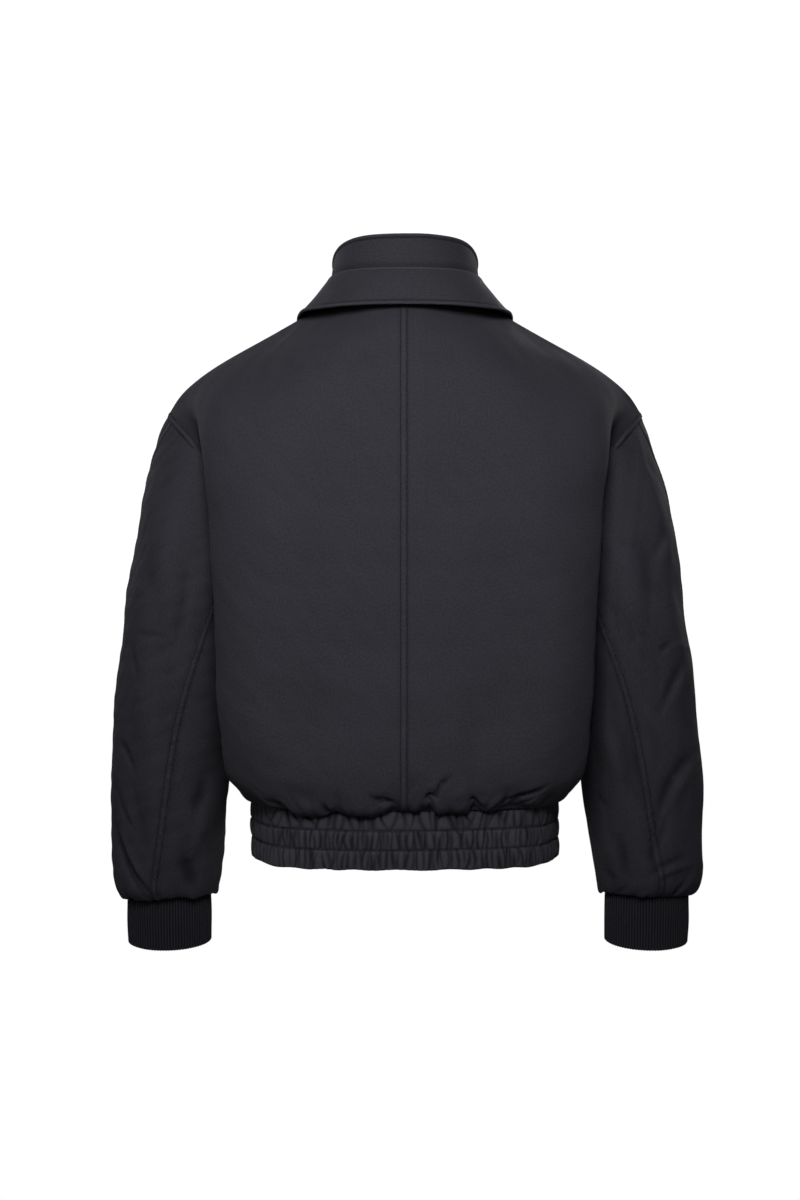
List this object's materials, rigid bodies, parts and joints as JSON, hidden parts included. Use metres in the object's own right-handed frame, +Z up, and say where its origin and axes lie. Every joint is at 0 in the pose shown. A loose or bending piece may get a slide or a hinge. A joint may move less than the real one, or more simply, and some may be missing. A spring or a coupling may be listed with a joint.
{
  "type": "bomber jacket",
  "caption": "Short zipped jacket with dropped shoulders, double collar, ruched elastic waistband and knitted rib cuffs, filled out as worn.",
  "frame": {"origin": "middle of the neck opening, level with the nape, where the wearer's neck and shoulders hold the jacket up", "axes": "+Z up along the wearer's spine, -Y the way the front faces, +X to the wearer's left"},
  "size_m": [0.6939, 0.2969, 0.826],
  "materials": {
    "shell_cloth": "smooth close twill, soft low sheen",
    "collar_cloth": "smooth close twill, a little lighter",
    "rib_knit": "matt rib knit",
    "zip_tape": "matt woven tape",
    "zip_metal": "dark satin"
  },
  "bodies": {
    "jacket": {"back_left": "shell_cloth", "back_right": "shell_cloth", "front_left": "shell_cloth", "front_right": "shell_cloth", "sleeve_left_back": "shell_cloth", "sleeve_left_front": "shell_cloth", "sleeve_right_back": "shell_cloth", "sleeve_right_front": "shell_cloth", "cuff_left": "rib_knit", "cuff_right": "rib_knit", "waistband": "shell_cloth", "stand_collar": "collar_cloth", "fall_collar": "collar_cloth", "zip_tape_left": "zip_tape", "zip_tape_right": "zip_tape", "zip_teeth": "zip_metal", "zip_box": "zip_metal", "zip_slider": "zip_metal"},
    "pull_tab": {"zip_pull": "zip_metal"}
  },
  "joints": [
    {"name": "pull_tab_swing", "type": "hinge", "parent": "jacket", "child": "pull_tab", "pos_m": [0, -0.10563, -0.01818], "axis": [-1, 0, 0], "range_deg": [-9, 174]}
  ]
}
